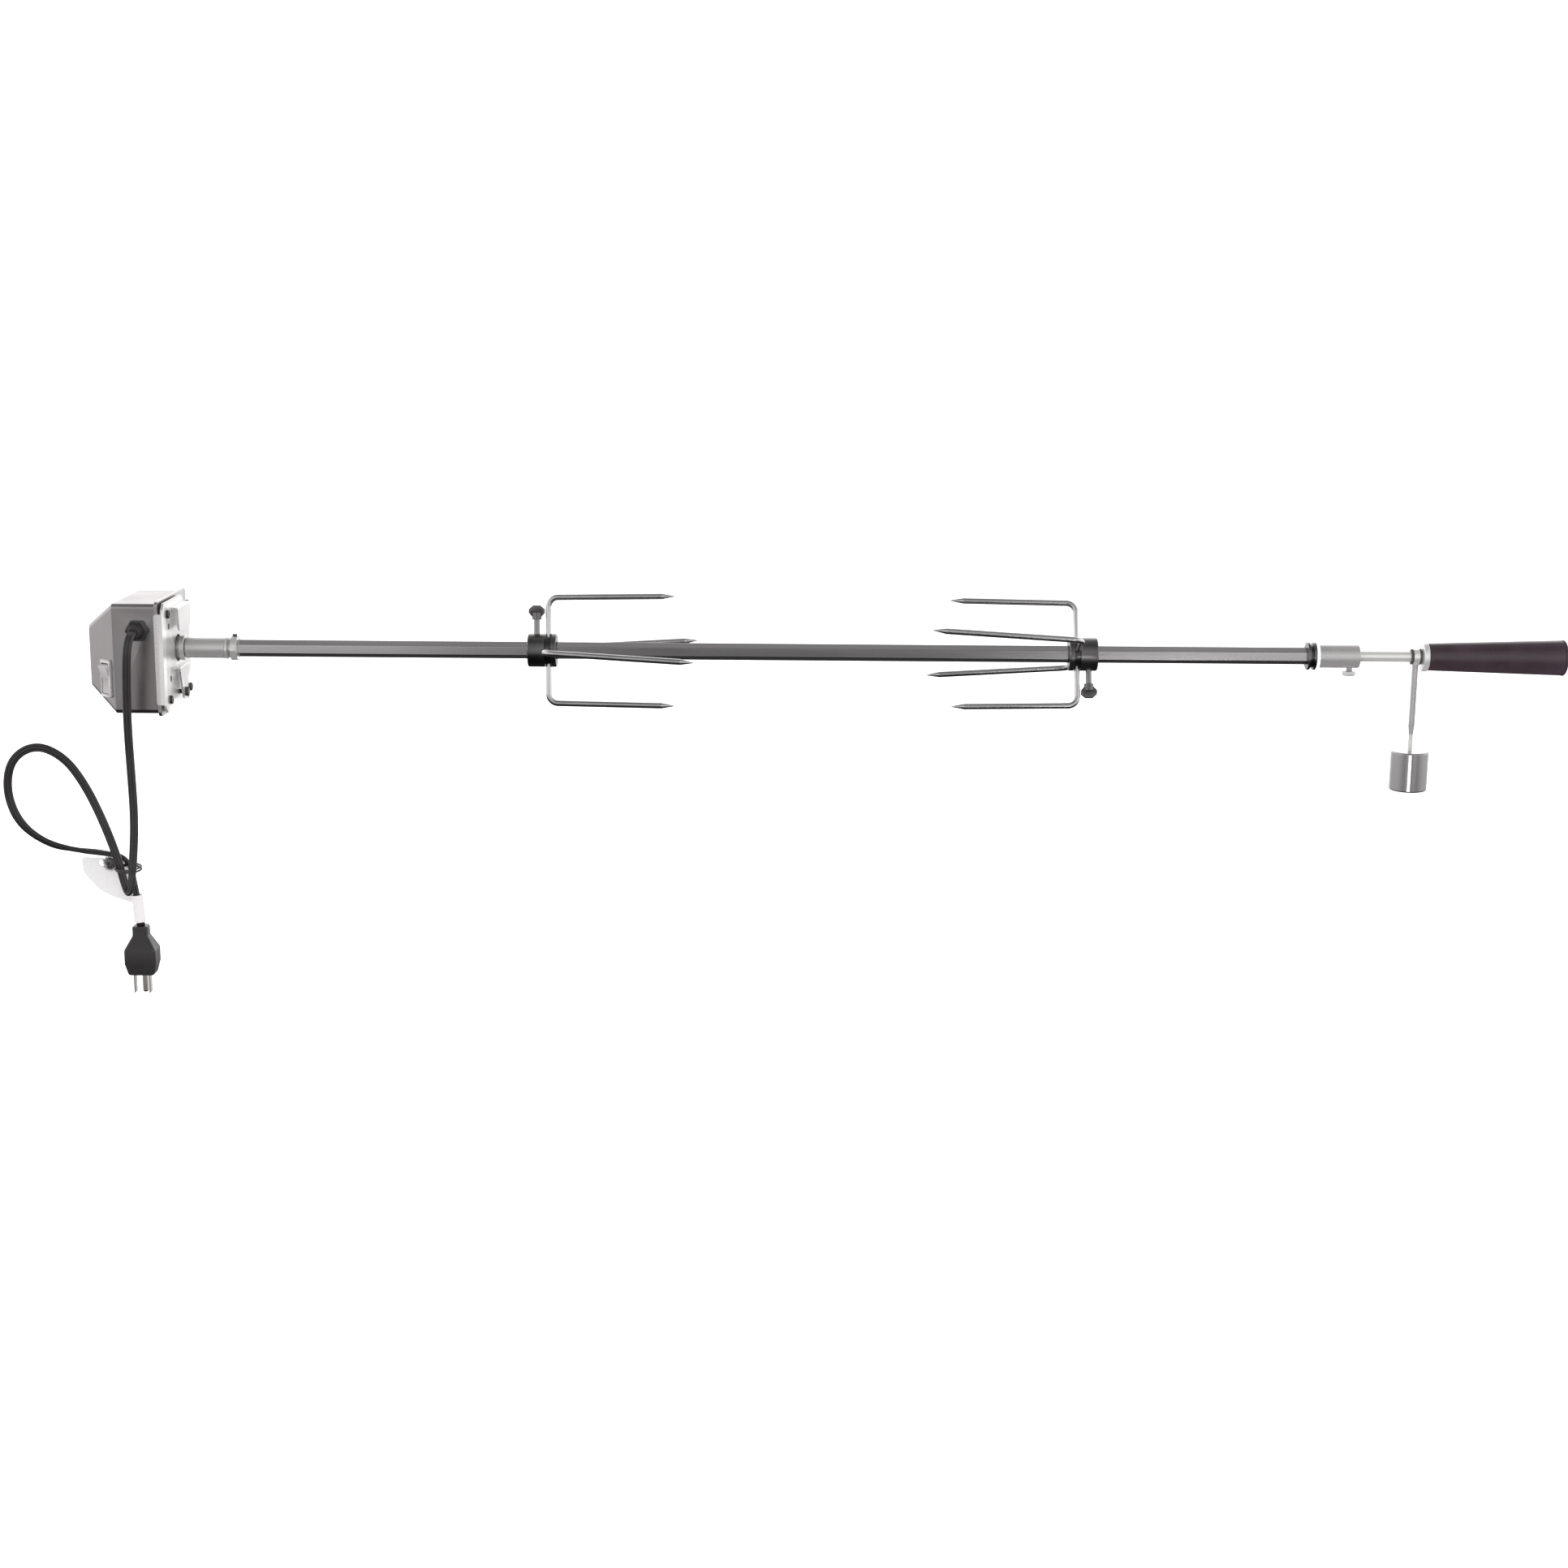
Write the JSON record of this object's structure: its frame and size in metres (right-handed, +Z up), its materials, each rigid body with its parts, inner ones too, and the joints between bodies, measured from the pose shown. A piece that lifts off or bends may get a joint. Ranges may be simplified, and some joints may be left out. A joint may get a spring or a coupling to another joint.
{
  "type": "grill rotisserie kit",
  "caption": "Geared grill rotisserie: motor on a wall bracket turns a hex spit with two sliding four-tine forks, a round handle and a swinging counterweight.",
  "frame": {"origin": "on the spit axis, at the outer face of the motor's mounting bracket", "axes": "+X along the spit from the motor to the handle, +Z up, the cord leaves the motor towards -Y"},
  "size_m": [1.3109, 0.126, 0.3381],
  "materials": {
    "satin_stainless": "satin brushed",
    "bright_stainless": "bright turned",
    "polished_stainless": "polished",
    "spit_steel": "drawn bar, satin",
    "tine_steel": "bright drawn wire",
    "dark_steel": "dark sintered",
    "black_oxide": "black oxide",
    "zinc_steel": "zinc plated",
    "bronze": "sintered bronze",
    "white_nylon": "moulded",
    "black_plastic": "moulded",
    "grey_plastic": "moulded",
    "ferrite": "matt",
    "copper_coil": "enamelled wire, taped",
    "handle_phenolic": "semi-gloss moulded",
    "cord_vinyl": "flexible vinyl",
    "blank_paper": "blank",
    "blank_card": "blank",
    "bead_chain": "bead chain",
    "brass_pins": "plated"
  },
  "bodies": {
    "motor_unit": {"motor_housing": "satin_stainless", "face_plate": "satin_stainless", "mounting_bracket": "bright_stainless", "bracket_spacers": "bright_stainless", "bracket_screws": "black_oxide", "switch_frame": "bright_stainless", "cord_bushing": "black_plastic", "plate_posts": "zinc_steel", "gear_plate": "zinc_steel", "gear_arbors": "zinc_steel", "output_bush": "bronze", "motor_can": "zinc_steel", "motor_coil": "copper_coil", "terminal_block": "white_nylon", "power_cord": "cord_vinyl", "cord_tie": "black_plastic", "cord_wrap": "blank_paper", "plug_body": "cord_vinyl", "plug_pins": "brass_pins", "hang_tag": "blank_card", "tag_chain": "bead_chain"},
    "spit": {"drive_socket": "bright_stainless", "output_gear": "zinc_steel", "spit_rod": "spit_steel", "drive_sleeve": "bright_stainless", "motor_end_bushing": "bright_stainless", "bushing_grub_screw": "black_oxide", "handle_end_bushing": "dark_steel", "bearing_washer": "white_nylon", "handle_collar": "bright_stainless", "handle_shank": "bright_stainless", "arm_nuts": "black_oxide", "handle_ferrule": "bright_stainless", "handle_grip": "handle_phenolic", "handle_cap": "handle_phenolic"},
    "third_gear_body": {"third_gear": "white_nylon"},
    "second_gear_body": {"second_gear": "white_nylon"},
    "rotor": {"rotor_shaft": "zinc_steel", "rotor_magnet": "ferrite"},
    "rocker": {"switch_rocker": "grey_plastic"},
    "clamp_screw_body": {"clamp_screw": "black_oxide"},
    "left_fork": {"left_fork_hub": "dark_steel", "left_fork_short_tines": "tine_steel", "left_fork_long_tines": "tine_steel"},
    "left_screw_stem": {"left_thumbscrew_stem": "dark_steel"},
    "left_screw_wing": {"left_thumbscrew_wing": "dark_steel"},
    "right_fork": {"right_fork_hub": "dark_steel", "right_fork_short_tines": "tine_steel", "right_fork_long_tines": "tine_steel"},
    "right_screw_stem": {"right_thumbscrew_stem": "dark_steel"},
    "right_screw_wing": {"right_thumbscrew_wing": "dark_steel"},
    "counterweight_body": {"counterweight_arm": "bright_stainless", "counterweight": "polished_stainless"},
    "handle_screw": {"handle_set_screw": "bright_stainless"}
  },
  "joints": [
    {"name": "spit_turn", "type": "hinge", "parent": "motor_unit", "child": "spit", "pos_m": [0, 0, 0], "axis": [1, 0, 0], "continuous": true},
    {"name": "third_gear_turn", "type": "hinge", "parent": "motor_unit", "child": "third_gear_body", "pos_m": [-0.0055, 0.00872, 0.02396], "axis": [1, 0, 0], "continuous": true},
    {"name": "second_gear_turn", "type": "hinge", "parent": "motor_unit", "child": "second_gear_body", "pos_m": [-0.0055, 0.02171, 0.01064], "axis": [1, 0, 0], "continuous": true},
    {"name": "rotor_turn", "type": "hinge", "parent": "motor_unit", "child": "rotor", "pos_m": [-0.0055, 0.00862, 0.00234], "axis": [1, 0, 0], "continuous": true},
    {"name": "switch_rock", "type": "hinge", "parent": "motor_unit", "child": "rocker", "pos_m": [-0.04961, -0.03839, -0.02], "axis": [-0.7809, 0.6247, 0], "range_deg": [0, 20]},
    {"name": "clamp_screw_turn", "type": "hinge", "parent": "motor_unit", "child": "clamp_screw_body", "pos_m": [0, 0, -0.0375], "axis": [1, 0, 0], "range_deg": [0, 360]},
    {"name": "left_fork_slide", "type": "slide", "parent": "spit", "child": "left_fork", "axis": [1, 0, 0], "range_m": [-0.235, 0.09]},
    {"name": "left_screw_travel", "type": "slide", "parent": "left_fork", "child": "left_screw_stem", "axis": [0, 0.1028, 0.9947], "range_m": [0, 0.002]},
    {"name": "left_screw_turn", "type": "hinge", "parent": "left_screw_stem", "child": "left_screw_wing", "pos_m": [0.3041, 0, 0], "axis": [0, 0.1028, 0.9947], "range_deg": [0, 725]},
    {"name": "right_fork_slide", "type": "slide", "parent": "spit", "child": "right_fork", "axis": [1, 0, 0], "range_m": [-0.09, 0.17]},
    {"name": "right_screw_travel", "type": "slide", "parent": "right_fork", "child": "right_screw_stem", "axis": [0, -0.4035, -0.915], "range_m": [0, 0.002]},
    {"name": "right_screw_turn", "type": "hinge", "parent": "right_screw_stem", "child": "right_screw_wing", "pos_m": [0.7713, 0, 0], "axis": [0, -0.4035, -0.915], "range_deg": [0, 725]},
    {"name": "counterweight_swing", "type": "hinge", "parent": "spit", "child": "counterweight_body", "pos_m": [1.0489, 0, 0], "axis": [1, 0, 0], "continuous": true},
    {"name": "handle_screw_turn", "type": "hinge", "parent": "spit", "child": "handle_screw", "pos_m": [0.9931, 0, 0], "axis": [0, 0, 1], "range_deg": [0, 360]}
  ],
  "couplings": [
    {"joint": "third_gear_turn", "follows": "spit_turn", "ratio": -4.6667},
    {"joint": "second_gear_turn", "follows": "spit_turn", "ratio": 19.444},
    {"joint": "rotor_turn", "follows": "spit_turn", "ratio": -81.019},
    {"joint": "left_screw_turn", "follows": "left_screw_travel", "rad_per_m": 6283.2},
    {"joint": "right_screw_turn", "follows": "right_screw_travel", "rad_per_m": 6283.2}
  ]
}
